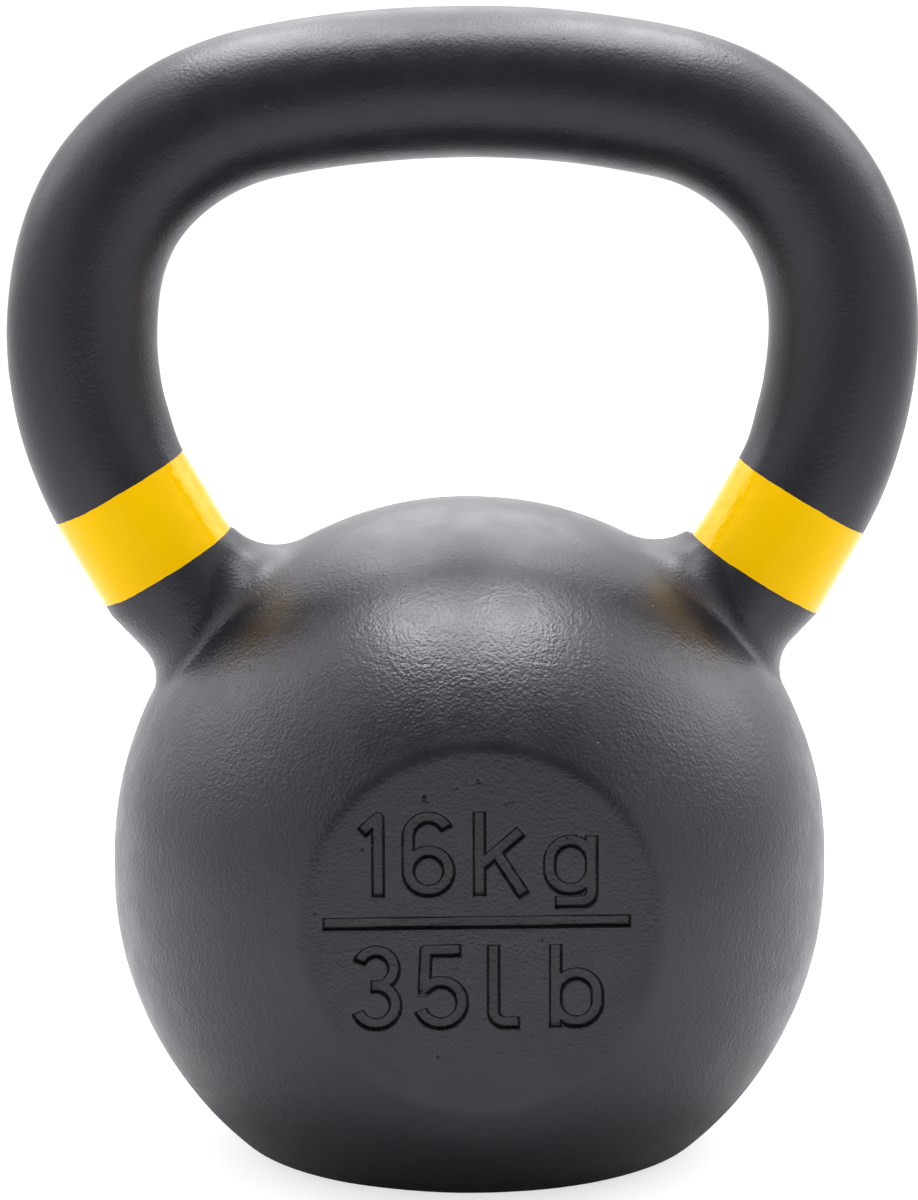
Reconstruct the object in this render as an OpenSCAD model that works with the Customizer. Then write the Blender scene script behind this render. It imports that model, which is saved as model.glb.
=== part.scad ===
// Cast-iron kettlebell of the 16 kg size, in millimetres.
// +Z is up, +X runs along the handle, and the front face looks along -Y.
// The origin is the middle of the flat base that the kettlebell stands on.

/* [Bell] */
// Diameter of the round bell
bell_d = 156; // [153:0.5:158]
// Height of the bell from its base to its top
bell_h = 141.8; // [140:0.1:144]
// Height of the straight cylindrical belt between the two half balls
belt_h = 3.3; // [1:0.1:5]
// Width of the bevel that breaks the edge of the flat base
base_bevel = 3; // [1:0.5:6]
// Distance from the middle to the flat face on the front and on the back
flat_y = 69; // [67:0.5:73]

/* [Handle] */
// Diameter of the round handle bar
bar_d = 32.5; // [30:0.5:34]
// Height of the middle of the bar at the top of its arch
crown_z = 232; // [228:0.5:236]
// Radius of the shallow arch that the hand grips, along the middle of the bar
arch_r = 211; // [190:1:240]
// Sweep of the arch from the crown to each corner, in degrees
arch_angle = 12; // [11:0.5:13]
// Radius of the corner bend, along the middle of the bar
corner_r = 48.4; // [46:0.2:50]
// Sweep of the corner bend, in degrees
corner_angle = 69.4; // [68:0.2:71]
// Radius of the wide bend down each horn, along the middle of the bar
horn_r = 69; // [66:1:72]
// Lean of the straight legs in from the vertical, in degrees
leg_lean = 30; // [28:0.5:32]

/* [Roots] */
// Reach of the blend along the leg and along the bell
root_blend = 9.5; // [8:0.5:11]
// Lean of the root's outer side in from the leg, in degrees
root_lean = 12; // [8:1:15]

/* [Colour bands] */
// Width of each colour band along the leg
band_w = 20.5; // [16:0.5:22]
// Thickness of a colour band
band_t = 0.5; // [0.4:0.1:1]
// How far a colour band stands proud of the bar
band_proud = 0.1; // [0:0.05:0.2]

/* [Hidden] */
$fn = 96;

iron = "#46464a";
yellow = "#f5bf15";

// Bell outline
bell_r = bell_d / 2;
ball_z = bell_h - bell_r;                  // middle of the upper half ball
low_ball_z = ball_z - belt_h;              // middle of the lower half ball
base_x = sqrt(pow(bell_r, 2) - pow(low_ball_z, 2));
bevel_slope = atan2(base_x, low_ball_z) / 2;   // halfway from the base to the ball

// Handle centreline in the XZ plane: arch, corner, horn and leg, all tangent.
// A heading is measured down from +X, so it is 0 degrees at the crown.
bar_r = bar_d / 2;
corner_heading = arch_angle + corner_angle;
leg_heading = 90 + leg_lean;
arch_c = [0, crown_z - arch_r];
arch_end = arch_c + arch_r * [sin(arch_angle), cos(arch_angle)];
corner_c = arch_end - corner_r * [sin(arch_angle), cos(arch_angle)];
corner_end = corner_c + corner_r * [sin(corner_heading), cos(corner_heading)];
horn_c = corner_end - horn_r * [sin(corner_heading), cos(corner_heading)];
leg_start = horn_c + horn_r * [sin(leg_heading), cos(leg_heading)];
leg_dir = [cos(leg_heading), 0, -sin(leg_heading)];
leg_out = [sin(leg_heading), 0, cos(leg_heading)];

// Colour band seat
seat_r = bar_r + band_proud - band_t;
seat_lap = 2;                              // how far the seat runs up into the bend

// Root blend
root_sides = 72;                           // points around the leg
root_steps = 8;                            // points along the blend
root_sink = 0.3;                           // depth of the blend's edge in the bell
root_plug = 6;                             // depth of the plug before it is cut
root_start = [leg_start[0], 0, leg_start[1]] + band_w * leg_dir;
ball_c = [0, 0, ball_z];

// Half outline of the bell, to be turned about the Z axis.
module bell_outline() {
    difference() {
        union() {
            intersection() {
                translate([0, ball_z]) circle(bell_r);
                translate([0, ball_z]) square([bell_r + 1, bell_r + 1]);
            }
            translate([0, low_ball_z]) square([bell_r, belt_h]);
            intersection() {
                translate([0, low_ball_z]) circle(bell_r);
                square([bell_r + 1, low_ball_z]);
            }
        }
        translate([base_x - base_bevel, 0])
            rotate(bevel_slope)
                translate([0, -bell_r]) square([bell_r, bell_r]);
    }
}

// The round iron bell with its flat base and its two flat faces.
module bell() {
    color(iron) difference() {
        rotate_extrude($fn = 180) bell_outline();
        for (side = [-1, 1])
            translate([-bell_r, side > 0 ? flat_y : -flat_y - bell_r, 0])
                cube([bell_d, bell_r, bell_h]);
    }
}

// Frame at a point of the handle's centreline: +X points out of the handle's
// loop, and +Y points back along the bar, towards the crown.
module on_bar(point, heading) {
    translate([point[0], 0, point[1]])
        rotate([90, 0, 0])
            rotate([0, 0, 90 - heading])
                children();
}

// Bar of radius r bent round a centre bend_r inside the frame's origin. It runs
// from the angle `from`, over `sweep` degrees, towards the crown.
module bend(bend_r, from, sweep, r) {
    translate([-bend_r, 0, 0])
        rotate_extrude(angle = sweep, start = from, $fn = 180)
            translate([bend_r, 0]) circle(r);
}

// Straight round bar down the right leg, from `start` over `length`.
module leg_bar(start, length, r) {
    on_bar(leg_start, leg_heading)
        translate([0, -start, 0])
            rotate([90, 0, 0])
                cylinder(h = length, r = r);
}

// The middle of the handle: the shallow arch between the two corners.
module grip() {
    color(iron) on_bar([0, crown_z], 0)
        bend(arch_r, -arch_angle, 2 * arch_angle, bar_r);
}

// Right corner bend, wide bend and the waisted stretch that carries the band.
module horn() {
    horn_angle = leg_heading - corner_heading;
    color(iron) union() {
        on_bar(corner_end, corner_heading) {
            bend(corner_r, 0, corner_angle, bar_r);
            bend(horn_r, -horn_angle, horn_angle, bar_r);
        }
        leg_bar(-seat_lap, band_w + seat_lap, seat_r);
    }
}

// Painted colour band round the right leg.
module band() {
    color(yellow) difference() {
        leg_bar(0, band_w, seat_r + band_t);
        leg_bar(-1, band_w + 2, seat_r);
    }
}

// Way down the root at the angle a around the leg: along the leg on the inner
// side, and leaning in from it on the outer side.
function root_way(a) =
    let (way = leg_dir - tan(root_lean) * max(0, cos(a)) * leg_out)
    way / norm(way);

// Distance from p along `way` to where it enters the ball.
function reach(p, way) =
    let (m = p - ball_c, b = m * way, c = m * m - bell_r * bell_r)
    -b - sqrt(b * b - c);

// Point of the ball's skin, sunk by `sink`, that lies under p.
function on_ball(p, sink) = ball_c + (p - ball_c) / norm(p - ball_c) * (bell_r - sink);

// One line of the root at the angle a around the leg: the start on the leg,
// the blend down to the bell, and the plug's edge inside the bell.
function root_line(a) =
    let (
        out = cos(a) * leg_out + sin(a) * [0, 1, 0],
        top = root_start + bar_r * out,
        way = root_way(a),
        drop = reach(top, way),
        knee = top + drop * way,
        up = (knee - ball_c) / norm(knee - ball_c),
        away = out - (out * up) * up,
        leg_end = knee - min(root_blend, drop - 0.5) * way,
        foot = on_ball(knee + root_blend * away / norm(away), root_sink)
    )
    concat(
        [top],
        [for (i = [0 : root_steps])
            let (s = i / root_steps)
            pow(1 - s, 2) * leg_end + 2 * s * (1 - s) * knee + s * s * foot],
        [on_ball(foot, root_plug)]
    );

// Right root: the flared iron blend between the leg and the bell.
module root() {
    rings = root_steps + 3;
    lines = [for (k = [0 : root_sides - 1]) root_line(360 * k / root_sides)];
    points = [for (j = [0 : rings - 1]) for (k = [0 : root_sides - 1]) lines[k][j]];
    last = (rings - 1) * root_sides;
    walls = [for (j = [0 : rings - 2]) for (k = [0 : root_sides - 1])
        let (n = (k + 1) % root_sides, a = j * root_sides, b = a + root_sides)
        each [[a + k, a + n, b + k], [a + n, b + n, b + k]]];
    top_cap = [[for (k = [0 : root_sides - 1]) root_sides - 1 - k]];
    hub = len(points);
    end_cap = [for (k = [0 : root_sides - 1]) [last + k, last + (k + 1) % root_sides, hub]];
    color(iron) difference() {
        polyhedron(concat(points, [on_ball(root_start, 3 * root_plug)]),
                   concat(walls, top_cap, end_cap));
        translate(ball_c) sphere(bell_r, $fn = 180);
    }
}

module right_root() { root(); }
module right_horn() { horn(); }
module right_band() { band(); }
module left_root() { mirror([1, 0, 0]) root(); }
module left_horn() { mirror([1, 0, 0]) horn(); }
module left_band() { mirror([1, 0, 0]) band(); }

bell();
left_root();
right_root();
left_horn();
right_horn();
grip();
left_band();
right_band();
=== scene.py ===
"""Cast-iron kettlebell of the 16 kg size: the looks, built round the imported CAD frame.

The shape is worked out in millimetres, as the CAD is, and becomes metres when a mesh is made.
The materials, the lights and the camera are in metres. +Z is up, +X runs along the handle, and
the front face looks along -Y.
"""
import math

import bmesh
import bpy
import numpy as np
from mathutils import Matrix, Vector, geometry


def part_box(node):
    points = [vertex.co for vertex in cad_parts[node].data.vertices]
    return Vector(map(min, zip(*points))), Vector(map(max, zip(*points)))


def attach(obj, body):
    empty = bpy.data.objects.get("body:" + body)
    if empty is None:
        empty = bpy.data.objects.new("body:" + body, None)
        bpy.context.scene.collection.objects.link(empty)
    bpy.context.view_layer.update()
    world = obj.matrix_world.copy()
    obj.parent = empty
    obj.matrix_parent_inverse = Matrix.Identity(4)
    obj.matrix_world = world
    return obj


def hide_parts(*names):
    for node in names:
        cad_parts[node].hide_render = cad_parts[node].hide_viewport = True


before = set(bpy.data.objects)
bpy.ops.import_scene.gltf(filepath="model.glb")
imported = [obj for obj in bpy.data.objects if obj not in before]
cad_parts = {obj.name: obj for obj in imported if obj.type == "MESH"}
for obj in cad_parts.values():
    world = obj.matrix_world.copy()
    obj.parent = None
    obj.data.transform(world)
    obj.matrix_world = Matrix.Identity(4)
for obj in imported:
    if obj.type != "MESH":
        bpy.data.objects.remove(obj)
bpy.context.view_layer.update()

MM = 0.001

# --------------------------------------------------------------------------------------------
# Dimensions, in millimetres and radians
# --------------------------------------------------------------------------------------------
bell_low, bell_high = (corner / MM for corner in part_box("bell"))
grip_low, grip_high = (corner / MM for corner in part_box("grip"))

BELL_R = (bell_high.x - bell_low.x) / 2
BELT_H = 3.3                                  # straight belt between the two half balls
BALL_Z = bell_high.z - BELL_R                 # middle of the upper half ball
LOW_BALL_Z = BALL_Z - BELT_H                  # middle of the lower half ball
FACE_SINK = 0.4                               # how far the cast faces lie inside the design
FLAT_Y = bell_high.y - FACE_SINK              # from the middle to a flat face
MIDDLE = np.array([0.0, 0.0, (BALL_Z + LOW_BALL_Z) / 2])
CREASE = 0.8                                  # softness of the edge round a flat face
BASE_EDGE = 2.2                               # softness of the edge round the base

BAR_R = (grip_high.y - grip_low.y) / 2
CROWN_Z = grip_high.z - BAR_R                 # middle of the bar at the top of the arch
BENDS = (                                     # radius and sweep of the bar's middle line
    (211.0, math.radians(12.0)),              # the gripped arch
    (48.4, math.radians(69.4)),               # the corner
    (69.0, math.radians(38.6)),               # the wide bend down to the leg
)
ARCH_S = BENDS[0][0] * BENDS[0][1]            # lengths along the bar from the crown
LEG_S = sum(bend_r * sweep for bend_r, sweep in BENDS)

BAND_W = 20.5
BAND_T = 0.5
BAND_PROUD = 0.1
BAND_LAP = 0.8                                # how far a band laps over each shoulder
BAND_EDGES = {                                # offset and tilt of each band's two edges
    -1: ((-3.2, 0.7), (-3.3, 0.4)),
    1: ((-0.05, 0.35), (-0.6, 0.5)),
}

INNER_BLEND = 13.5                            # blend between a leg and the bell, in the loop
FRONT_BLEND = 3.6                             # the same on the front and the back
OUTER_BLEND = 6.0                             # the same outside the loop
ROOT_LEAN = 0.24                              # slope of a root's outside in from the leg
SKIRT = 0.6                                   # how far a root runs on past its blend
WAIST = 0.5                                   # how much thinner the bar is by its bands
WAIST_TOP = (16.0, 12.0)                      # how far above the leg that starts, and its ease
WAIST_FOOT = (21.0, 9.0)                      # how far down the leg it ends, and its ease
SWAY = {                                      # place, length and drift of the bar's true line
    -1: ((78.0, 20.0, -0.9),),
    1: ((80.0, 32.0, -0.3), (128.0, 26.0, -0.8)),
}
BELL_X = 0.9                                  # the bell is cast a little to the right
UNEVEN = 0.12                                 # swell of the sand-cast skin
FACE_UNEVEN = 0.4                             # share of the swell on a flat face

# --------------------------------------------------------------------------------------------
# Weight figures cut into the front face, on the middle lines of their strokes
# --------------------------------------------------------------------------------------------
STROKE_R = 1.4                                # half the width of a stroke
CAP_H = 15.4                                  # height of the figures
STEM = 1.2                                    # how far a stem runs past the middle lines
X_H = 10.2                                    # height of the small letters' bowls
BOWL_R = 4.3                                  # radius of their bowls, at top and bottom
LAP = 0.7                                     # how far the two halves of a bowl lap
CUT_DEPTH = 1.6
CUT_EDGE = 0.16                               # where a cut starts, outside its stroke
CUT_WALL = 0.74                               # how wide the sloping wall of a cut is
MARKS_TILT = math.radians(0.28)               # how far they are turned
END_REACH = 2.5 * STROKE_R                    # how near an end is before its cut counts
ARC_STEP = math.radians(9)                    # between two points of a round stroke


def arc(x, z, r, start, end):
    """Points of an arc round (x, z), between two angles in degrees."""
    start, end = math.radians(start), math.radians(end)
    steps = math.ceil(abs(end - start) / ARC_STEP)
    angles = np.linspace(start, end, steps + 1)
    return [(x + r * math.cos(a), z + r * math.sin(a)) for a in angles]


def bowl(x):
    """Two strokes that close a small letter's tall round bowl, lapping at its sides."""
    over = arc(x + BOWL_R, X_H - BOWL_R, BOWL_R, 180, 0)
    under = arc(x + BOWL_R, BOWL_R, BOWL_R, 0, -180)
    low, high = X_H / 2 - LAP, X_H / 2 + LAP
    right = x + 2 * BOWL_R
    return [[(x, low)] + over + [(right, low)], [(right, high)] + under + [(x, high)]]


GLYPHS = {
    "1": [[(0, 12.4), (3.4, CAP_H), (3.4, -STEM)]],
    "6": [
        arc(4.15, CAP_H - 4.15, 4.15, 24, 180) + arc(4.15, 4.15, 4.15, 180, 370),
        arc(4.15, 4.15, 4.15, -10, 190),
    ],
    "3": [
        arc(4.0, 11.7, 3.7, 160, -90) + [(2.8, 8.0)],
        [(2.8, 8.0)] + arc(4.0, 4.0, 4.0, 90, -162),
    ],
    "5": [[(8.2, CAP_H), (0.9, CAP_H)] + arc(3.9, 4.4, 4.4, 140, -162)],
    "k": [[(0, -STEM), (0, CAP_H + STEM)], [(0, 5.0), (8.6, 12.4)], [(3.4, 7.9), (9.2, -STEM)]],
    "g": bowl(0) + [[(2 * BOWL_R, X_H + STEM)] + arc(6.7, -0.7, 1.9, 0, -90) + [(1.0, -2.6)]],
    "l": [[(0, CAP_H + STEM)] + arc(2.4, 2.4, 2.4, 180, 270) + [(5.4, 0)]],
    "b": bowl(0) + [[(0, -STEM), (0, CAP_H + STEM)]],
}
ROWS = (                                      # base line, then each figure and its place
    (8.5, (("1", 0.0), ("6", 9.6), ("k", 24.2), ("g", 38.6))),
    (-19.5, (("3", 0.0), ("5", 13.4), ("l", 28.2), ("b", 41.0))),
)
DIVIDER = [(-31.7, 1.8), (31.7, 1.8)]
PITS = (                                      # place, radius and depth of casting flaws
    (-10.6, 28.3, 0.52, 0.65),
    (-9.9, 27.5, 0.30, 0.30),
    (0.3, 31.6, 0.38, 0.42),
    (1.0, 31.3, 0.26, 0.25),
    (-4.0, 30.3, 0.30, 0.25),
    (6.0, 26.9, 0.30, 0.28),
    (6.8, 27.2, 0.26, 0.24),
    (7.6, 27.4, 0.22, 0.18),
    (13.4, -1.7, 0.26, 0.32),
    (-33.2, 4.4, 0.28, 0.30),
    (-8.2, -26.2, 0.30, 0.30),
    (-23.4, 17.8, 0.32, 0.30),
)


def mark_strokes():
    """Every stroke of the marks, as the points along its middle line."""
    strokes = [DIVIDER]
    for base, row in ROWS:
        spread = row[-1][1] + max(x for stroke in GLYPHS[row[-1][0]] for x, z in stroke)
        for name, place in row:
            for stroke in GLYPHS[name]:
                strokes.append([(x + place - spread / 2, z + base) for x, z in stroke])
    return [np.array(stroke, float) for stroke in strokes]


STROKES = mark_strokes()


def on_marks(p):
    """Across and up on the front face, in the marks' own tilted axes."""
    x, z = p[..., 0], p[..., 2] - MIDDLE[2]
    cos, sin = math.cos(MARKS_TILT), math.sin(MARKS_TILT)
    return np.stack([cos * x + sin * z, cos * z - sin * x], axis=-1)


def stroke_distance(flat, stroke):
    """Distance outside one stroke, whose two ends are cut square."""
    nearest = np.full(flat.shape[:-1], np.inf)
    for start, end in zip(stroke, stroke[1:]):
        step = end - start
        along = np.clip((flat - start) @ step / max(step @ step, 1e-9), 0.0, 1.0)
        away = flat - start - along[..., None] * step
        nearest = np.minimum(nearest, np.hypot(away[..., 0], away[..., 1]))
    nearest = nearest - STROKE_R
    for end, before in ((stroke[0], stroke[1]), (stroke[-1], stroke[-2])):
        off = flat - end
        beyond = off @ unit(end - before)
        near = np.hypot(off[..., 0], off[..., 1]) < END_REACH
        nearest = np.where(near, np.maximum(nearest, beyond), nearest)
    return nearest


def mark_distance(flat):
    """Distance outside the nearest stroke."""
    return np.minimum.reduce([stroke_distance(flat, stroke) for stroke in STROKES])


# --------------------------------------------------------------------------------------------
# Fields and curves that the pieces share
# --------------------------------------------------------------------------------------------
WAVES = 28                                    # how many waves the uneven skin adds up
WAVE_LENGTHS = (14.0, 55.0)                   # shortest and longest
WAVE_SEED = 16
SWELL_GAIN = 4.0                              # how near the swells come to their limits
wave_rng = np.random.default_rng(WAVE_SEED)
wave_ways = wave_rng.normal(size=(3, WAVES))
wave_ways /= np.linalg.norm(wave_ways, axis=0)
wave_lengths = wave_rng.uniform(*WAVE_LENGTHS, WAVES)
wave_shifts = wave_rng.uniform(0.0, 2 * math.pi, WAVES)


def unevenness(p):
    """Gentle swells of the casting at the points p, from -2 to 0 times UNEVEN."""
    waves = np.cos(p @ (wave_ways * 2 * math.pi / wave_lengths) + wave_shifts)
    return UNEVEN * (np.tanh(waves.mean(axis=-1) * SWELL_GAIN) - 1.0)


def soft_max(a, b, width):
    """The larger of a and b, rounded where they are closer than width."""
    near = np.maximum(width - np.abs(a - b), 0.0) / width
    return np.maximum(a, b) + near * near * width / 4


def smooth_step(t):
    """Eases from 0 to 1 as t goes from 0 to 1."""
    t = np.clip(t, 0.0, 1.0)
    return t * t * (3.0 - 2.0 * t)


def unit(v):
    """The vectors v at a length of 1."""
    return v / np.linalg.norm(v, axis=-1, keepdims=True)


def slope(field, p, step=0.02):
    """Gradient of a field at the points p."""
    steps = np.eye(3) * step
    return np.stack([(field(p + d) - field(p - d)) / (2 * step) for d in steps], axis=-1)


def ball_distance(p):
    """Distance outside the round bell, without its flats and its base."""
    away = p - (BELL_X, 0.0, 0.0)
    away[..., 2] -= np.clip(p[..., 2], LOW_BALL_Z, BALL_Z)
    return np.linalg.norm(away, axis=-1) - BELL_R - unevenness(p)


def flaw_depth(p):
    """Depth of the small pits of the front face."""
    flat = on_marks(p)
    depth = np.zeros(flat.shape[:-1])
    for x, z, r, deep in PITS:
        away = (flat[..., 0] - x) ** 2 + (flat[..., 1] - z) ** 2
        depth += deep * np.exp(-away / (r * r))
    return depth


def cut_depth(p):
    """Depth of the marks in the front face."""
    into = (CUT_EDGE - mark_distance(on_marks(p))) / CUT_WALL
    return CUT_DEPTH * smooth_step(into)


def bell_distance(p):
    """Distance outside the bell, with its two flat faces and its base."""
    face = np.abs(p[..., 1]) - FLAT_Y - FACE_UNEVEN * unevenness(p)
    return soft_max(soft_max(ball_distance(p), face, CREASE), -p[..., 2], BASE_EDGE)


def front_distance(p):
    """The same for the front face, with its marks and flaws."""
    return bell_distance(p) + cut_depth(p) + flaw_depth(p)


def bar_line(s):
    """Middle of the bar and its heading below +X, s mm from the crown down the right side."""
    x, z, heading = np.zeros_like(s), np.full_like(s, CROWN_Z), np.zeros_like(s)
    for bend_r, sweep in BENDS:
        turn = np.clip(s / bend_r, 0.0, sweep)
        x = x + bend_r * (np.sin(heading + turn) - np.sin(heading))
        z = z + bend_r * (np.cos(heading + turn) - np.cos(heading))
        heading = heading + turn
        s = s - bend_r * turn
    return x + s * np.cos(heading), z - s * np.sin(heading), heading


def sway(side, s):
    """How far the casting's bar lies off its true line in X, s mm from the crown."""
    return sum(far * np.exp(-(((s - at) / wide) ** 2)) for at, wide, far in SWAY[side])


def waist(s, around):
    """How much thinner the bar is by its bands, except on the outside of the loop."""
    above, top_ease = WAIST_TOP
    below, foot_ease = WAIST_FOOT
    start = smooth_step((s - LEG_S + above) / top_ease)
    end = smooth_step((LEG_S + below - s) / foot_ease)
    return WAIST * start * end * (1.0 - smooth_step(np.cos(around)))


def bar_skin(side, s, around, r):
    """Points and normals of the bar, s mm from the crown down the right (1) or left (-1)
    side. `around` is 0 on the outside of the loop and a quarter turn on the front."""
    s, around, r = np.broadcast_arrays(s, around, r)
    x, z, heading = bar_line(s)
    zero = np.zeros_like(s)
    out = np.stack([side * np.sin(heading), zero, np.cos(heading)], axis=-1)
    front = np.array([0.0, -1.0, 0.0])
    spokes = np.cos(around)[..., None] * out + np.sin(around)[..., None] * front
    middle = np.stack([side * x + sway(side, s), zero, z], axis=-1)
    skin = middle + (r - waist(s, around))[..., None] * spokes
    normals = unit(spokes - slope(unevenness, skin))
    return skin + unevenness(skin)[..., None] * spokes, normals


LEG_X, LEG_Z, LEG_HEADING = (float(value) for value in bar_line(np.array(LEG_S)))


def leg_line(side):
    """Start and way of a straight leg's middle line, and the way out of the handle's loop."""
    start = np.array([side * LEG_X, 0.0, LEG_Z])
    way = np.array([side * math.cos(LEG_HEADING), 0.0, -math.sin(LEG_HEADING)])
    out = np.array([side * math.sin(LEG_HEADING), 0.0, math.cos(LEG_HEADING)])
    return start, way, out


def root_distance(p, side):
    """Distance outside a leg and the bell, joined by a round blend. The leg's outside leans
    in, and the blend is widest inside the loop."""
    start, way, out = leg_line(side)
    off = p - start
    along = off @ way
    off = off - along[..., None] * way
    far = np.linalg.norm(off, axis=-1)
    outward = (off @ out) / far
    outer, inner = smooth_step(outward), smooth_step(-outward)
    lean = ROOT_LEAN * outer * np.maximum(along - BAND_W, 0.0)
    to_leg = far - BAR_R + lean - unevenness(p)
    to_ball = ball_distance(p)
    blend_r = FRONT_BLEND + (INNER_BLEND - FRONT_BLEND) * inner
    blend_r = blend_r + (OUTER_BLEND - FRONT_BLEND) * outer
    blend = np.hypot(np.maximum(blend_r - to_ball, 0.0), np.maximum(blend_r - to_leg, 0.0))
    return np.maximum(blend_r, np.minimum(to_ball, to_leg)) - blend


# --------------------------------------------------------------------------------------------
# Mesh helpers
# --------------------------------------------------------------------------------------------
def grid_faces(rows, across):
    """Quads between rows of `across` points each, where every row is a closed ring."""
    low = np.arange(rows - 1)[:, None] * across
    j = np.arange(across)
    k = (j + 1) % across
    quads = np.stack([low + j, low + k, low + across + k, low + across + j], axis=-1)
    return quads.reshape(-1, 4).tolist()


def fan_faces(ring, hub):
    """Triangles that close a ring of vertex numbers on a hub."""
    return [(int(a), int(b), hub) for a, b in zip(ring, np.roll(ring, -1))]


def add_piece(name, points, faces, normals, material, slot, node):
    """Makes a smooth closed mesh that stands for a CAD node and rides on the frame."""
    mesh = bpy.data.meshes.new(name)
    mesh.from_pydata((points * MM).tolist(), [], faces)
    shape = bmesh.new()
    shape.from_mesh(mesh)
    bmesh.ops.recalc_face_normals(shape, faces=shape.faces)
    shape.to_mesh(mesh)
    shape.free()
    mesh.polygons.foreach_set("use_smooth", np.ones(len(mesh.polygons), bool))
    mesh.materials.append(material)
    mesh.normals_split_custom_set_from_vertices(normals.tolist())
    piece = bpy.data.objects.new(name, mesh)
    bpy.context.scene.collection.objects.link(piece)
    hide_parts(node)
    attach(piece, "root")


def closed_tube(rings, normals):
    """Points, faces and normals of a tube whose two ends are closed by fans."""
    count, around = rings.shape[:2]
    hubs = rings[[0, -1]].mean(axis=1)
    hub_ways = unit(hubs - rings[[1, -2]].mean(axis=1))
    first = np.arange(around)
    last = first + (count - 1) * around
    faces = grid_faces(count, around)
    faces += fan_faces(first, count * around) + fan_faces(last, count * around + 1)
    points = np.concatenate([rings.reshape(-1, 3), hubs])
    return points, faces, np.concatenate([normals.reshape(-1, 3), hub_ways])


# --------------------------------------------------------------------------------------------
# The bell
# --------------------------------------------------------------------------------------------
RIM_ANGLE = math.radians(42)                  # from the Y axis to the rim of a face's cap
RIM_POINTS = 400                              # points round the bell
BELT_STEPS = 104                              # rows between the two caps
START_SHARE = 0.9                             # where a cap's points start, on the way out
COARSE = 1.15                                 # spacing of the lattice on a face
LATTICE_GAP = 0.3                             # from it to the finer ones, in its spacings
FINE = 0.21                                   # spacing beside the marks
MARKS_REACH = 35.0                            # half the width of the square with the marks
BESIDE = 0.50                                 # how far the fine lattice reaches outside them
INSIDE = 0.80                                 # the same inside them
CUT_LEVELS = np.array([                       # how far outside a stroke its points lie
    0.42, 0.28, 0.16, 0.05, -0.06, -0.17, -0.28, -0.38, -0.48, -0.58, -0.72,
])
PIT_REACH = 1.3                               # how far the fine lattice of a pit reaches
PIT_GAP = 0.3                                 # from it to the coarse lattice
NUDGE = 0.01                                  # step for working out slopes


def settle(field, p, ways, rounds=8):
    """Moves the points p along their ways until they lie where the field is zero."""
    for _ in range(rounds):
        ahead = (field(p + NUDGE * ways) - field(p - NUDGE * ways)) / (2 * NUDGE)
        p = p - (field(p) / ahead)[:, None] * ways
    return p


def lattice(reach, spacing):
    """Points of a hexagonal lattice over a square, in across and up."""
    rise = spacing * math.sqrt(3) / 2
    rows = np.arange(-reach, reach, rise)
    steps = np.arange(-reach, reach, spacing)
    across, up = np.meshgrid(steps, rows)
    across = across + (np.arange(len(rows)) % 2)[:, None] * spacing / 2
    return np.stack([across.ravel(), up.ravel()], axis=-1)


def raised(flat):
    """Points midway between the two faces, at places across and up."""
    return np.stack([flat[:, 0], np.zeros(len(flat)), flat[:, 1] + MIDDLE[2]], axis=-1)


def away_from_marks(flat):
    """Distance outside the nearest stroke, from places across and up."""
    return mark_distance(on_marks(raised(flat)))


def beside_marks():
    """Across-and-up places beside the marks, drawn onto the levels of the cuts' walls."""
    fine = lattice(MARKS_REACH, FINE)
    away = away_from_marks(fine)
    near = (away < BESIDE) & (away > -INSIDE)
    fine, away = fine[near], away[near]
    nudge = NUDGE / 2
    steps = (np.array([nudge, 0.0]), np.array([0.0, nudge]))
    uphill = np.stack([(away_from_marks(fine + d) - away) / nudge for d in steps], axis=-1)
    level = CUT_LEVELS[np.abs(away[:, None] - CUT_LEVELS).argmin(axis=1)]
    return fine + (level - away)[:, None] * uphill


def face_points(reach, marked):
    """Across-and-up places of the points inside a face's cap, finer beside the marks."""
    coarse = lattice(reach, COARSE)
    coarse = coarse[np.hypot(*coarse.T) < reach - COARSE / 2]
    if not marked:
        return coarse
    away = away_from_marks(coarse)
    gap = LATTICE_GAP * COARSE
    keep = (away > BESIDE + gap) | (away < -INSIDE - gap)
    in_marks = on_marks(raised(coarse))
    pit_lattice = lattice(PIT_REACH, FINE)
    pit_lattice = pit_lattice[np.hypot(*pit_lattice.T) < PIT_REACH]
    pits = []
    for x, z, _, _ in PITS:
        keep &= np.hypot(in_marks[:, 0] - x, in_marks[:, 1] - z) > PIT_REACH + PIT_GAP
        pits.append(pit_lattice + (x, z))
    pits = np.concatenate(pits)
    pits = pits[away_from_marks(pits) > BESIDE]
    return np.concatenate([coarse[keep], beside_marks(), pits])


def face_cap(rim, side, marked):
    """Points inside one face's rim, and the cap's triangles; the rim's points come first."""
    inner = face_points(np.hypot(rim[:, 0], rim[:, 2] - MIDDLE[2]).min(), marked)
    flat = np.concatenate([rim[:, [0, 2]] - (0.0, MIDDLE[2]), inner])
    result = geometry.delaunay_2d_cdt([Vector(p) for p in flat.tolist()], [], [], 0, 1e-6)
    source = [first[0] for first in result[3]]
    triangles = [tuple(source[i] for i in face) for face in result[2]]
    way = np.tile([0.0, side, 0.0], (len(inner), 1))
    start = raised(inner) + START_SHARE * FLAT_Y * way
    return settle(front_distance if marked else bell_distance, start, way), triangles


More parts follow.
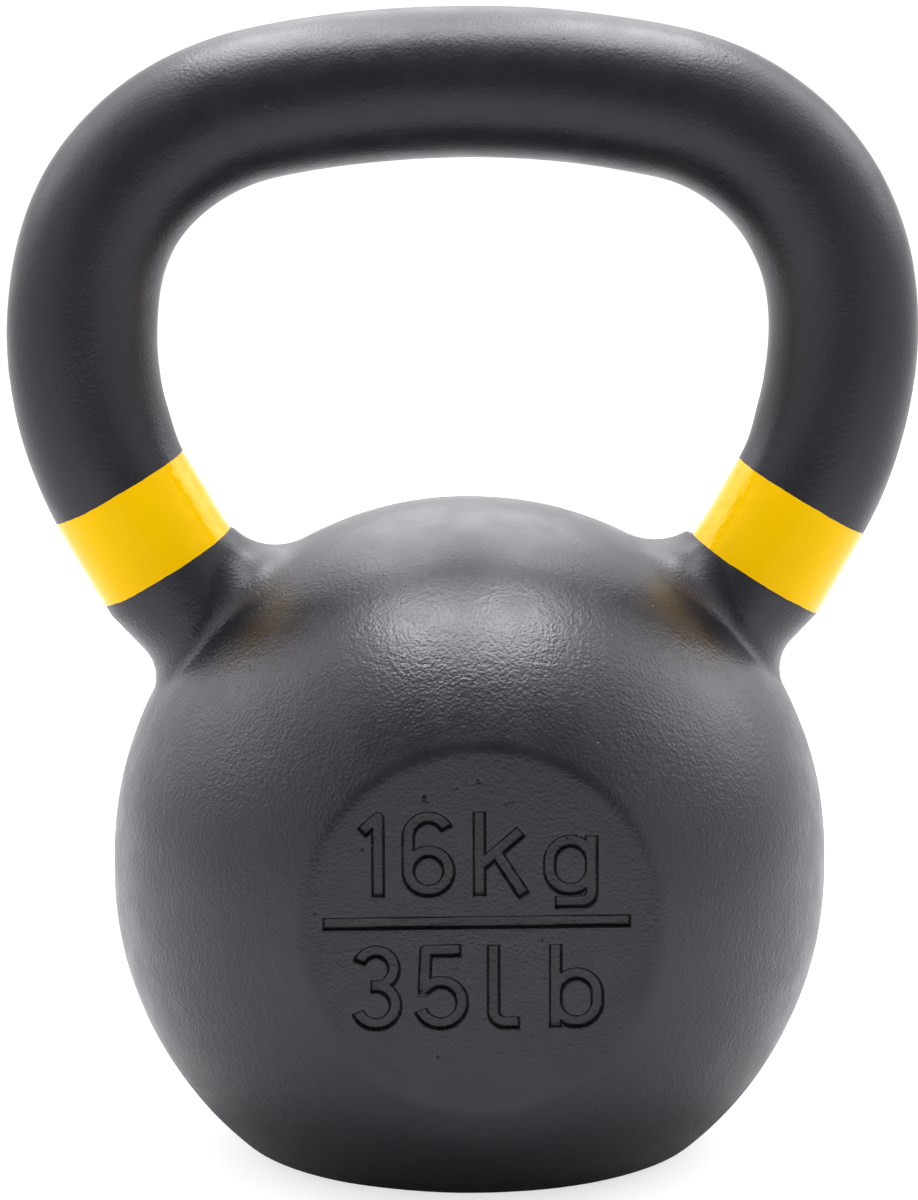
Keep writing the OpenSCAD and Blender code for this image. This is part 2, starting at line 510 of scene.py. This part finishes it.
def build_bell(material):
    """The bell: a belt of rows from cap to cap, and the two faces' caps."""
    around = np.linspace(0.0, 2 * math.pi, RIM_POINTS, endpoint=False)
    angles = np.linspace(RIM_ANGLE, math.pi - RIM_ANGLE, BELT_STEPS + 1)
    turn, from_front = np.meshgrid(around, angles)
    ways = np.stack(
        [np.sin(from_front) * np.cos(turn), -np.cos(from_front), np.sin(from_front) * np.sin(turn)],
        axis=-1,
    ).reshape(-1, 3)
    belt = settle(bell_distance, MIDDLE + BELL_R * ways, ways)
    faces = grid_faces(BELT_STEPS + 1, RIM_POINTS)
    points = [belt]
    normals = [slope(bell_distance, belt)]
    count = len(belt)
    for side, rim_from, marked in ((-1, 0, True), (1, count - RIM_POINTS, False)):
        inner, triangles = face_cap(belt[rim_from : rim_from + RIM_POINTS], side, marked)
        shift = sum(len(p) for p in points) - RIM_POINTS
        for face in triangles:
            faces.append([rim_from + i if i < RIM_POINTS else shift + i for i in face])
        points.append(inner)
        normals.append(slope(front_distance if marked else bell_distance, inner))
    points, normals = np.concatenate(points), unit(np.concatenate(normals))
    add_piece("bell_casting", points, faces, normals, material, "bell_iron", "bell")


# --------------------------------------------------------------------------------------------
# The handle and its roots
# --------------------------------------------------------------------------------------------
BAR_POINTS = 144                              # points round the bar
BAR_STEP = 1.1                                # between two of its rings
LEG_STEPS = 16                                # rings of a root along the leg
BALL_STEPS = 16                               # rings of a root along the bell
DRAW_ROUNDS = 6                               # rounds that draw a root onto its blend
FREE_AFTER = 1.6                              # where a root's blend may begin
HEM_SHARE = 1.15                              # reach of a root on the bell, in blend radii
HEM_SINK = 0.5                                # how deep its edge is sunk in the bell
PLUG_DEPTH = 5.0                              # depth of the plug inside the bell
around_bar = np.linspace(0.0, 2 * math.pi, BAR_POINTS, endpoint=False)


def bar_stretch(side, start, end, r=BAR_R):
    """Rings and normals of the bar between two lengths from the crown."""
    places = np.linspace(start, end, math.ceil((end - start) / BAR_STEP) + 1)
    return bar_skin(side, places[:, None], around_bar[None, :], r)


def build_grip(material):
    """The gripped arch between the two corners."""
    left, left_ways = bar_stretch(-1, 0.0, ARCH_S)
    right, right_ways = bar_stretch(1, 0.0, ARCH_S)
    rings = np.concatenate([left[:0:-1], right])
    normals = np.concatenate([left_ways[:0:-1], right_ways])
    add_piece("grip_casting", *closed_tube(rings, normals), material, "handle_iron", "grip")


def band_edge(side, end, around):
    """Length from the crown to a band's first (0) or second (1) edge."""
    offset, tilt = BAND_EDGES[side][end]
    return LEG_S + end * BAND_W + offset + tilt * np.cos(around)


def build_horn(side, name, material):
    """A corner and horn, with the waisted stretch that carries the band."""
    shoulder = band_edge(side, 0, around_bar).mean() + BAND_LAP
    foot = band_edge(side, 1, around_bar).mean() - BAND_LAP
    full, full_ways = bar_stretch(side, ARCH_S, shoulder)
    seat_r = BAR_R + BAND_PROUD - BAND_T
    seat, seat_ways = bar_stretch(side, shoulder, foot, seat_r)
    rings = np.concatenate([full, seat])
    normals = np.concatenate([full_ways, seat_ways])
    node = name + "_horn"
    add_piece(node + "_casting", *closed_tube(rings, normals), material, "handle_iron", node)


def build_root(side, name, material):
    """The flared blend between a leg and the bell."""
    def field(p):
        return root_distance(p, side)

    def drawn(p):
        """The points p, moved onto the blend's skin."""
        for _ in range(DRAW_ROUNDS):
            uphill = slope(field, p)
            p = p - (field(p) / (uphill**2).sum(axis=-1))[..., None] * uphill
        return p

    # The rim under the band, and where the leg's lines from it reach the bell.
    start, way, loop_out = leg_line(side)
    top_s = band_edge(side, 1, around_bar).mean() - BAND_LAP
    top, _ = bar_skin(side, top_s, around_bar, BAR_R)
    ball = np.array([BELL_X, 0.0, BALL_Z])
    out = unit((top - start) - ((top - start) @ way)[:, None] * way)
    to_top = top - ball
    ahead = to_top @ way
    reach = -ahead - np.sqrt(ahead**2 - (to_top**2).sum(axis=1) + BELL_R**2)
    knee = top + reach[:, None] * way
    up = unit(knee - ball)
    away = unit(out - (out * up).sum(axis=1)[:, None] * up)
    inner = smooth_step(-(out @ loop_out))
    blend = (INNER_BLEND - OUTER_BLEND) * inner + OUTER_BLEND

    # Rings down the leg, out over the bell, and sunk in it.
    along = np.linspace(0.0, 1.0, LEG_STEPS, endpoint=False)[:, None] * reach
    bare = top + along[..., None] * way
    free = smooth_step(along / FREE_AFTER)[..., None]
    leg_rings = bare + free * (drawn(bare) - bare)
    hem = (HEM_SHARE * blend + SKIRT) / BELL_R
    turn = (np.linspace(0.0, 1.0, BALL_STEPS)[:, None] * hem)[..., None]
    ball_rings = drawn(ball + BELL_R * (np.cos(turn) * up + np.sin(turn) * away))
    turn = (hem + 2.0 * SKIRT / BELL_R)[:, None]
    sunk = ball + (BELL_R - HEM_SINK) * (np.cos(turn) * up + np.sin(turn) * away)
    rings = np.concatenate([leg_rings, ball_rings, [sunk, sunk - PLUG_DEPTH * up]])
    normals = unit(slope(field, rings))
    normals[-1] = normals[-2]
    node = name + "_root"
    tube = closed_tube(rings, normals)
    add_piece(node + "_casting", *tube, material, "handle_iron", node)


# --------------------------------------------------------------------------------------------
# The colour bands
# --------------------------------------------------------------------------------------------
BAND_POINTS = 300                             # points round a band
BAND_RINGS = 70                               # rings across its plain stretch
BAND_SEED = 40
EDGE_WAVES = (3, 5, 8, 13, 19, 27, 41, 60)    # how often each wave of an edge comes round
EDGE_RIPPLE = 0.08                            # their size, less for the shorter ones
EDGE_ROUND = ((0.0, 0.12), (0.03, 0.06), (0.10, 0.02), (0.22, 0.0))   # way in, and drop
FIRST_RING = 0.4                              # from an edge to the plain stretch's end
LIP_SINK = 0.03                               # how far a band's lips lie in the iron


def build_band(side, name, material):
    """A thin painted sleeve round a leg, with slightly uneven edges."""
    around = np.linspace(0.0, 2 * math.pi, BAND_POINTS, endpoint=False)
    rng = np.random.default_rng(BAND_SEED + side)
    edges = [band_edge(side, end, around) for end in (0, 1)]
    for turns in EDGE_WAVES:
        for edge in edges:
            shift = rng.uniform(0.0, 2 * math.pi)
            edge += EDGE_RIPPLE / math.sqrt(turns) * np.cos(turns * around + shift)
    outer_r = BAR_R + BAND_PROUD
    inner_r = outer_r - BAND_T
    lip_r = BAR_R - LIP_SINK
    plain = np.linspace(FIRST_RING, BAND_W - FIRST_RING, BAND_RINGS)
    profile = [(s, outer_r - drop) for s, drop in EDGE_ROUND]
    profile += [(s, outer_r) for s in plain]
    profile += [(BAND_W - s, outer_r - drop) for s, drop in EDGE_ROUND[::-1]]
    profile += [(BAND_W - BAND_LAP, lip_r), (BAND_W - BAND_LAP, inner_r)]
    profile += [(BAND_LAP, inner_r), (BAND_LAP, lip_r)]
    s, r = np.array(profile).T[..., None]
    share = s / BAND_W
    rings, normals = bar_skin(side, (1 - share) * edges[0] + share * edges[1], around, r)
    count = len(profile) * BAND_POINTS
    faces = [[i % count for i in face] for face in grid_faces(len(profile) + 1, BAND_POINTS)]
    shell = (rings.reshape(-1, 3), faces, normals.reshape(-1, 3))
    node = name + "_band"
    add_piece(node + "_paint", *shell, material, "band_paint", node)


# --------------------------------------------------------------------------------------------
# Materials, in metres. A scale counts a noise's lumps to the metre, and a relief is a scale
# and a height. A fade is four numbers: while a value goes from the first to the second, the
# result goes from the third to the fourth.
# --------------------------------------------------------------------------------------------
WHITE = (1.0, 1.0, 1.0, 1.0)
MIDDLE_NOISE = (0.3, 0.7)                     # where most of a noise's values lie

COAT_COLOURS = ((0.0049, 0.0046, 0.0068, 1.0), (0.0063, 0.0060, 0.0084, 1.0))
COAT_SHEEN = (0.97, 0.96, 1.0, 1.0)           # tint of the coat's reflections
TONE_SCALE = 45.0
GLOSS_SCALE = 130.0
GLOSS_SPREAD = 0.035                          # how much the coat's roughness varies
PEBBLES = (1400.0, 0.000135)                  # three reliefs of the powder coat
LUMPS = (560.0, 0.000075)
GRAIN = (3600.0, 0.000008)
CROWN_FADE = (0.112, 0.140, 1.0, 0.30)        # pebbling by the height above the base
FACE_FADE = (0.0655, 0.0683, 1.0, 0.85)       # the same by the distance in front or behind
PATCH_SCALE = 28.0
PATCH_FADE = (0.35, 0.65, 0.75, 1.15)         # the same by the noise of the patches
CROOK_SIDE = (0.036, 0.045)                   # how far out a crook starts and is full
CROOK_HEIGHT = (0.117, 0.127)                 # the same upwards
PINHOLE_SCALE = 128.0
PINHOLE_DEPTH = 0.00016
PINHOLE_RIM = (0.015, 0.045)                  # from the floor to the rim, in pinhole spacings

BAND_COLOURS = ((0.89, 0.522, 0.000, 1.0), (0.92, 0.547, 0.001, 1.0))
BAND_SHEEN = (1.0, 0.67, 0.13, 1.0)           # tint of the paint's reflections
BAND_IOR = 1.38
BAND_TONE_SCALE = 90.0
BAND_GLOSS_SCALE = 400.0
BAND_GLOSS = (0.10, 0.16)                     # least and most roughness
BAND_GRAIN = (1300.0, 0.00001)                # two reliefs of the paint
RIPPLES = (260.0, 0.00030)
RIPPLE_FADE = (-0.022, -0.011, 1.0, 0.10)     # ripples by the way out of the handle's loop


def new_material(name):
    """An empty material with nodes."""
    material = bpy.data.materials.new(name)
    material.use_nodes = True
    material.node_tree.nodes.clear()
    return material


def node(tree, kind, inputs=None, **settings):
    """Adds a shader node and returns its first output. Each input is a plain value or the
    output of another node."""
    made = tree.nodes.new("ShaderNode" + kind)
    for name, value in settings.items():
        setattr(made, name, value)
    for socket, value in (inputs or {}).items():
        if isinstance(value, bpy.types.NodeSocket):
            tree.links.new(value, made.inputs[socket])
        else:
            made.inputs[socket].default_value = value
    return made.outputs[0]


def finish_tree(tree, kind, shader):
    """Ends the nodes of a Material or a World in a shader."""
    output = tree.nodes.new("ShaderNodeOutput" + kind)
    tree.links.new(shader, output.inputs["Surface"])


def coordinates(tree, which):
    """Texture coordinates of one kind, and their X, Y and Z parts."""
    where = tree.nodes.new("ShaderNodeTexCoord").outputs[which]
    parts = tree.nodes.new("ShaderNodeSeparateXYZ")
    tree.links.new(where, parts.inputs[0])
    return where, parts.outputs


def calc(tree, operation, a, b=0.0):
    """One step of arithmetic on two numbers."""
    return node(tree, "Math", {0: a, 1: b}, operation=operation)


def noise(tree, where, scale, detail=2.0, roughness=0.5):
    """Noise from 0 to 1 with `scale` lumps to the metre."""
    return node(tree, "TexNoise", {
        "Vector": where, "Scale": scale, "Detail": detail, "Roughness": roughness,
    })


def relief(tree, where, scale, rise, detail=1.0, roughness=0.5):
    """Noise with lumps `rise` metres high."""
    return calc(tree, "MULTIPLY", noise(tree, where, scale, detail, roughness), rise)


def remap(tree, value, low, high, to_low, to_high):
    """Takes low to to_low and high to to_high, smoothly, and no further."""
    return node(tree, "MapRange", {
        "Value": value, "From Min": low, "From Max": high, "To Min": to_low, "To Max": to_high,
    }, interpolation_type="SMOOTHSTEP")


def varied(tree, where, scale, detail, least, most):
    """A value that varies from place to place."""
    return remap(tree, noise(tree, where, scale, detail), *MIDDLE_NOISE, least, most)


def mixed(tree, share, a, b):
    """Colour a where share is 0, and b where it is 1."""
    return node(tree, "MixRGB", {"Fac": share, "Color1": a, "Color2": b})


def finish_surface(material, colour, roughness, height, **constants):
    """Ends a material in a Principled surface with bump. The height is in metres."""
    tree = material.node_tree
    bump = node(tree, "Bump", {"Height": height, "Distance": 1.0, "Strength": 1.0})
    inputs = {"Base Color": colour, "Roughness": roughness, "Normal": bump}
    for name, value in constants.items():
        inputs[name.replace("_", " ")] = value
    finish_tree(tree, "Material", node(tree, "BsdfPrincipled", inputs))
    return material


def pinholes(tree, where):
    """Scattered small round holes."""
    cells = tree.nodes.new("ShaderNodeTexVoronoi")
    cells.inputs["Scale"].default_value = PINHOLE_SCALE
    tree.links.new(where, cells.inputs["Vector"])
    return remap(tree, cells.outputs["Distance"], *PINHOLE_RIM, -PINHOLE_DEPTH, 0.0)


def iron_coat(name, pebbling, roughness, dulled, ior):
    """Satin charcoal powder coat over cast iron. The pebbling fades out up the bell, and the
    coat is duller by `dulled` in the crooks where the legs meet the bell."""
    material = new_material(name)
    tree = material.node_tree
    where, parts = coordinates(tree, "Object")
    on_bell = remap(tree, parts["Z"], *CROWN_FADE)
    on_face = remap(tree, calc(tree, "ABSOLUTE", parts["Y"]), *FACE_FADE)
    patches = remap(tree, noise(tree, where, PATCH_SCALE), *PATCH_FADE)
    strength = calc(tree, "MULTIPLY", calc(tree, "MULTIPLY", on_bell, on_face), patches)

    pebbles = relief(tree, where, *PEBBLES)
    lumps = relief(tree, where, *LUMPS, roughness=0.4)
    grain = relief(tree, where, *GRAIN)
    skin = calc(tree, "MULTIPLY", calc(tree, "ADD", pebbles, lumps), strength)
    skin = calc(tree, "MULTIPLY", skin, pebbling)
    height = calc(tree, "ADD", calc(tree, "ADD", skin, grain), pinholes(tree, where))

    colour = mixed(tree, varied(tree, where, TONE_SCALE, 4.0, 0.0, 1.0), *COAT_COLOURS)
    gloss_range = (roughness - GLOSS_SPREAD, roughness + GLOSS_SPREAD)
    gloss = varied(tree, where, GLOSS_SCALE, 3.0, *gloss_range)
    sideways = calc(tree, "ABSOLUTE", parts["X"])
    out_in_crook = remap(tree, sideways, *CROOK_SIDE, 0.0, dulled)
    up_in_crook = remap(tree, parts["Z"], *CROOK_HEIGHT, 0.0, 1.0)
    gloss = calc(tree, "ADD", gloss, calc(tree, "MULTIPLY", out_in_crook, up_in_crook))
    return finish_surface(material, colour, gloss, height, IOR=ior, Specular_Tint=COAT_SHEEN)


def band_gloss():
    """Glossy amber paint, rippled on the inner side of the handle's loop."""
    material = new_material("amber_band_paint")
    tree = material.node_tree
    where, parts = coordinates(tree, "Object")
    sideways = calc(tree, "ABSOLUTE", parts["X"])
    across = calc(
        tree, "SUBTRACT",
        calc(tree, "MULTIPLY", sideways, math.sin(LEG_HEADING)),
        calc(tree, "MULTIPLY", parts["Z"], -math.cos(LEG_HEADING)),
    )
    ripples = relief(tree, where, *RIPPLES, detail=2.0)
    ripples = calc(tree, "MULTIPLY", ripples, remap(tree, across, *RIPPLE_FADE))
    height = calc(tree, "ADD", ripples, relief(tree, where, *BAND_GRAIN))
    colour = mixed(tree, varied(tree, where, BAND_TONE_SCALE, 3.0, 0.0, 1.0), *BAND_COLOURS)
    gloss = varied(tree, where, BAND_GLOSS_SCALE, 3.0, *BAND_GLOSS)
    return finish_surface(
        material, colour, gloss, height, IOR=BAND_IOR, Specular_Tint=BAND_SHEEN
    )


# --------------------------------------------------------------------------------------------
# Camera, light and floor, in metres. The studio's lights are radiances. Each one starts where
# the cosine of the angle from its own way is the first number of its fade, and is full at the
# second.
# --------------------------------------------------------------------------------------------
CAMERA_AT = Vector((-0.0349, -0.9994, 0.2898))
CAMERA_TO = Vector((-0.0014, 0.0, 0.1196))
LENS_MM = 139.74
SENSOR_MM = 36.0

SOFTBOX_TINT = (1.0, 0.99, 1.035)
SOFTBOX_X = 0.28                              # the two softboxes, either side of the middle
SOFTBOX_Y = 0.19
SOFTBOX_Z = 1.22
SOFTBOX_W = 0.38
SOFTBOX_D = 0.95
SOFTBOX_TURN = math.radians(11)               # how far their front ends turn in
SOFTBOX_WATTS = 15.3

WALL_LIGHT = (1.12, 1.11, 1.15, 1.0)          # the studio's walls
BACK_LIGHT = (1.48, 1.46, 1.51, 1.0)          # the wall behind the kettlebell
BACK_FADE = (0.4, 0.9)
CEILING_LIGHT = (1.25, 1.24, 1.29, 1.0)       # the ceiling
CEILING_FADE = (0.1, 0.65)
REAR_LIGHT = (4.00, 3.95, 4.05, 1.0)          # the rear window, high behind
REAR_WAY = (0.0, 0.75, 0.66)
REAR_FADE = (0.905, 0.98)
SIDE_LIGHT = (4.15, 4.09, 4.28, 1.0)          # the two side windows
SIDE_WAY = (0.74, 0.33, 0.59)                 # the way to the right one, mirrored on the left
SIDE_FADE = (0.88, 0.975)
LEFT_SHARE = 0.72                             # how strong the left window is beside the right
LEFT_FADE = (-0.3, 0.3)                       # where the one share goes over into the other
DARK_LIGHT = (0.28, 0.28, 0.29, 1.0)          # the dark above and behind the camera
DARK_LIFT = math.radians(29)
DARK_WAY = (0.0, -math.cos(DARK_LIFT), math.sin(DARK_LIFT))
DARK_FADE = (0.62, 0.88)

FLOOR_COLOUR = (0.53, 0.53, 0.53, 1.0)
FLOOR_GLOW = 0.70                             # radiance of the veil on the floor
FLOOR_R = 1.4
FLOOR_GAP = 0.0001                            # from the floor up to the base
FLOOR_FADE = (0.6, 1.2)                       # where the floor starts to fade and is gone
BACKDROP_R = 6.0
BACKDROP_GLOW = 1.1                           # its radiance


def add_camera():
    """The camera, in front of the kettlebell and a little above it."""
    data = bpy.data.cameras.new("camera")
    data.lens = LENS_MM
    data.sensor_width = SENSOR_MM
    camera = bpy.data.objects.new("camera", data)
    camera.location = CAMERA_AT
    camera.rotation_euler = (CAMERA_TO - CAMERA_AT).to_track_quat("-Z", "Y").to_euler()
    bpy.context.scene.collection.objects.link(camera)
    bpy.context.scene.camera = camera


def add_softbox(side):
    """One of the two wide soft lights above the kettlebell."""
    data = bpy.data.lights.new("softbox", "AREA")
    data.shape = "RECTANGLE"
    data.size = SOFTBOX_W
    data.size_y = SOFTBOX_D
    data.energy = SOFTBOX_WATTS
    data.color = SOFTBOX_TINT
    light = bpy.data.objects.new("softbox", data)
    light.location = (side * SOFTBOX_X, SOFTBOX_Y, SOFTBOX_Z)
    light.rotation_euler.z = -side * SOFTBOX_TURN
    bpy.context.scene.collection.objects.link(light)


def add_surroundings():
    """A white studio with a bright ceiling and three windows, and dark above the camera."""
    world = bpy.data.worlds.new("studio")
    bpy.context.scene.world = world
    world.use_nodes = True
    tree = world.node_tree
    tree.nodes.clear()
    parts = coordinates(tree, "Generated")[1]
    sideways = calc(tree, "ABSOLUTE", parts["X"])

    def towards(x, y, z):
        """Cosine of the angle from the way (x, y, z), or from its mirror image in X."""
        ahead = calc(tree, "MULTIPLY", parts["Y"], y)
        above = calc(tree, "MULTIPLY", parts["Z"], z)
        beside = calc(tree, "MULTIPLY", sideways, x)
        return calc(tree, "ADD", calc(tree, "ADD", ahead, above), beside)

    def lit(cosine, fade, colour, light):
        """The colour with one more light laid over it."""
        return mixed(tree, remap(tree, cosine, *fade, 0.0, 1.0), colour, light)

    colour = lit(parts["Y"], BACK_FADE, WALL_LIGHT, BACK_LIGHT)
    colour = lit(parts["Z"], CEILING_FADE, colour, CEILING_LIGHT)
    colour = lit(towards(*REAR_WAY), REAR_FADE, colour, REAR_LIGHT)
    strength = remap(tree, parts["X"], *LEFT_FADE, LEFT_SHARE, 1.0)
    window = remap(tree, towards(*SIDE_WAY), *SIDE_FADE, 0.0, 1.0)
    colour = mixed(tree, calc(tree, "MULTIPLY", window, strength), colour, SIDE_LIGHT)
    colour = lit(towards(*DARK_WAY), DARK_FADE, colour, DARK_LIGHT)
    finish_tree(tree, "World", node(tree, "Background", {"Color": colour, "Strength": 1.0}))


def add_disc(name, z, material):
    """A disc of the floor's size at the height z."""
    bpy.ops.mesh.primitive_circle_add(
        vertices=96, radius=FLOOR_R, fill_type="NGON", location=(0.0, 0.0, z)
    )
    disc = bpy.context.object
    disc.name = name
    disc.data.materials.append(material)
    return disc


def add_floor():
    """A pale round table top that fades into the backdrop."""
    material = new_material("pale_floor")
    tree = material.node_tree
    where = tree.nodes.new("ShaderNodeTexCoord").outputs["Object"]
    away = tree.nodes.new("ShaderNodeVectorMath")
    away.operation = "LENGTH"
    tree.links.new(where, away.inputs[0])
    fade = remap(tree, away.outputs["Value"], *FLOOR_FADE, 0.0, 1.0)
    pale = node(tree, "BsdfDiffuse", {"Color": FLOOR_COLOUR})
    clear = node(tree, "BsdfTransparent")
    finish_tree(tree, "Material", node(tree, "MixShader", {0: fade, 1: pale, 2: clear}))
    add_disc("floor", -FLOOR_GAP, material)


def only_for_camera(thing):
    """Hides a thing from light and reflections."""
    thing.visible_diffuse = False
    thing.visible_glossy = False
    thing.visible_transmission = False
    thing.visible_volume_scatter = False
    thing.visible_shadow = False


def add_floor_glow():
    """A thin veil on the floor that keeps it pale under the kettlebell."""
    material = new_material("floor_glow")
    tree = material.node_tree
    glow = node(tree, "Emission", {"Color": WHITE, "Strength": FLOOR_GLOW})
    clear = node(tree, "BsdfTransparent")
    finish_tree(tree, "Material", node(tree, "AddShader", {0: glow, 1: clear}))
    material.cycles.emission_sampling = "NONE"
    only_for_camera(add_disc("floor_glow", -FLOOR_GAP / 2, material))


def add_backdrop():
    """A plain white backdrop that only the camera sees."""
    bpy.ops.mesh.primitive_uv_sphere_add(segments=32, ring_count=16, radius=BACKDROP_R)
    backdrop = bpy.context.object
    backdrop.name = "backdrop"
    material = new_material("white_backdrop")
    tree = material.node_tree
    glow = node(tree, "Emission", {"Color": WHITE, "Strength": BACKDROP_GLOW})
    finish_tree(tree, "Material", glow)
    material.cycles.emission_sampling = "NONE"
    backdrop.data.materials.append(material)
    only_for_camera(backdrop)


# --------------------------------------------------------------------------------------------
# The scene
# --------------------------------------------------------------------------------------------
bpy.context.scene.view_settings.view_transform = "Standard"
add_camera()
add_surroundings()
for side in (-1, 1):
    add_softbox(side)
add_floor()
add_floor_glow()
add_backdrop()

bell_coat = iron_coat(
    "pebbled_charcoal_coat", pebbling=1.0, roughness=0.34, dulled=0.065, ior=1.5
)
handle_coat = iron_coat(
    "smooth_charcoal_coat", pebbling=1.6, roughness=0.38, dulled=0.0, ior=1.46
)
amber = band_gloss()
build_bell(bell_coat)
build_grip(handle_coat)
for side, name in ((-1, "left"), (1, "right")):
    build_root(side, name, bell_coat)
    build_horn(side, name, handle_coat)
    build_band(side, name, amber)
